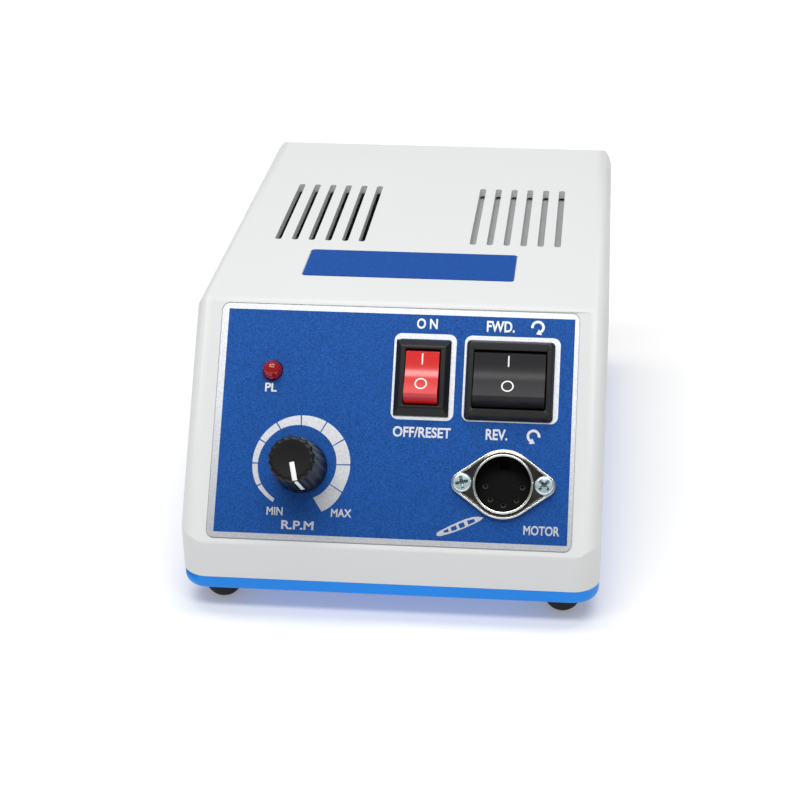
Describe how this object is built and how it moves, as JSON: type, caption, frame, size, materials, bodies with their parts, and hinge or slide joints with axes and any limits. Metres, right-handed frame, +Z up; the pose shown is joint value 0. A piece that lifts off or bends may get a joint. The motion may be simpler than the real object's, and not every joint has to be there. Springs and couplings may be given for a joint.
{
  "type": "micromotor control unit",
  "caption": "Bench control unit for a small electric handpiece motor: sloped-front plastic case with rocker switches, speed knob, pilot lamp and round motor socket.",
  "frame": {"origin": "middle of the bounding box in plan, on the surface the feet stand on", "axes": "+X to the right as seen from the front, +Y to the rear, +Z up; the sloped panel faces -Y and up"},
  "size_m": [0.114, 0.1834, 0.0806],
  "materials": {
    "white_shell": "fine texture",
    "blue_base": "semi-gloss",
    "black_rubber": "matte",
    "label_blue": "printed film with a silver border",
    "label_plain": "printed film",
    "plate_silver": "bare satin plate",
    "black_plastic": "satin",
    "black_gloss": "gloss",
    "red_plastic": "semi-gloss",
    "red_lens": "clear red",
    "white_paint": "matte",
    "nickel": "polished nickel",
    "zinc": "bright zinc",
    "steel": "satin",
    "brass": "satin",
    "core_steel": "varnished laminations",
    "copper": "enamelled wire",
    "ivory_plastic": "matte",
    "board_green": "solder mask",
    "sleeve_blue": "shrink sleeve",
    "relay_blue": "gloss",
    "aluminium": "bare sheet",
    "fuse_glass": "clear",
    "lead_red": "insulation"
  },
  "bodies": {
    "case": {"top_cover": "white_shell", "base_tray": "blue_base", "rubber_feet": "black_rubber", "case_screws": "zinc", "front_label": "label_blue", "top_label": "label_plain", "rating_plate": "plate_silver", "power_switch_body": "black_plastic", "power_switch_tabs": "brass", "direction_switch_body": "black_plastic", "direction_switch_tabs": "brass", "pilot_lamp_lens": "red_lens", "pilot_lamp_holder": "black_plastic", "pilot_lamp_leads": "steel", "control_body": "steel", "control_washer": "steel", "control_nut": "steel", "control_tabs": "brass", "socket_flange": "nickel", "socket_insert": "black_plastic", "socket_contacts": "brass", "socket_screws": "zinc", "socket_nuts": "zinc", "transformer_core": "core_steel", "transformer_bobbin": "ivory_plastic", "transformer_winding": "copper", "transformer_bracket": "steel", "transformer_screws": "zinc", "control_board": "board_green", "board_spacers": "ivory_plastic", "board_screws": "zinc", "filter_capacitors": "sleeve_blue", "bridge_rectifier": "black_plastic", "overload_relay": "relay_blue", "control_chip": "black_plastic", "trimmers": "relay_blue", "board_headers": "ivory_plastic", "power_transistor": "black_plastic", "transistor_screw": "zinc", "heat_sink": "aluminium", "heat_sink_screws": "zinc", "cord_bush": "black_rubber", "fuse_holder": "black_plastic", "fuse_holder_nut": "black_plastic", "foot_jack": "black_plastic", "foot_jack_nut": "nickel", "mode_switch_frame": "steel", "mode_switch_screws": "zinc", "internal_leads": "lead_red"},
    "power_rocker": {"power_rocker": "red_plastic"},
    "direction_rocker": {"direction_rocker": "black_gloss"},
    "speed_control": {"speed_knob": "black_plastic", "knob_pointer": "white_paint", "control_shaft": "steel", "control_wiper": "brass"},
    "fuse_carrier": {"fuse_glass": "fuse_glass", "fuse_ends": "steel"},
    "fuse_cap": {"fuse_cap": "black_plastic"},
    "mode_slider": {"mode_slider": "black_plastic"}
  },
  "joints": [
    {"name": "power_rocker_hinge", "type": "hinge", "parent": "case", "child": "power_rocker", "pos_m": [0.0071, -0.05985, 0.05912], "axis": [1, 0, 0], "range_deg": [0, 22]},
    {"name": "direction_rocker_hinge", "type": "hinge", "parent": "case", "child": "direction_rocker", "pos_m": [0.0308, -0.05985, 0.05912], "axis": [1, 0, 0], "range_deg": [0, 22]},
    {"name": "speed_knob_turn", "type": "hinge", "parent": "case", "child": "speed_control", "pos_m": [-0.0245, -0.07517, 0.03872], "axis": [0, -0.809, 0.5878], "range_deg": [0, 299]},
    {"name": "fuse_pull", "type": "slide", "parent": "case", "child": "fuse_carrier", "axis": [0, 1, 0], "range_m": [0, 0.034]},
    {"name": "fuse_cap_turn", "type": "hinge", "parent": "fuse_carrier", "child": "fuse_cap", "pos_m": [0.016, 0.08214, 0.032], "axis": [0, 1, 0], "range_deg": [0, 60]},
    {"name": "mode_slide", "type": "slide", "parent": "case", "child": "mode_slider", "axis": [1, 0, 0], "range_m": [0, 0.004]}
  ]
}
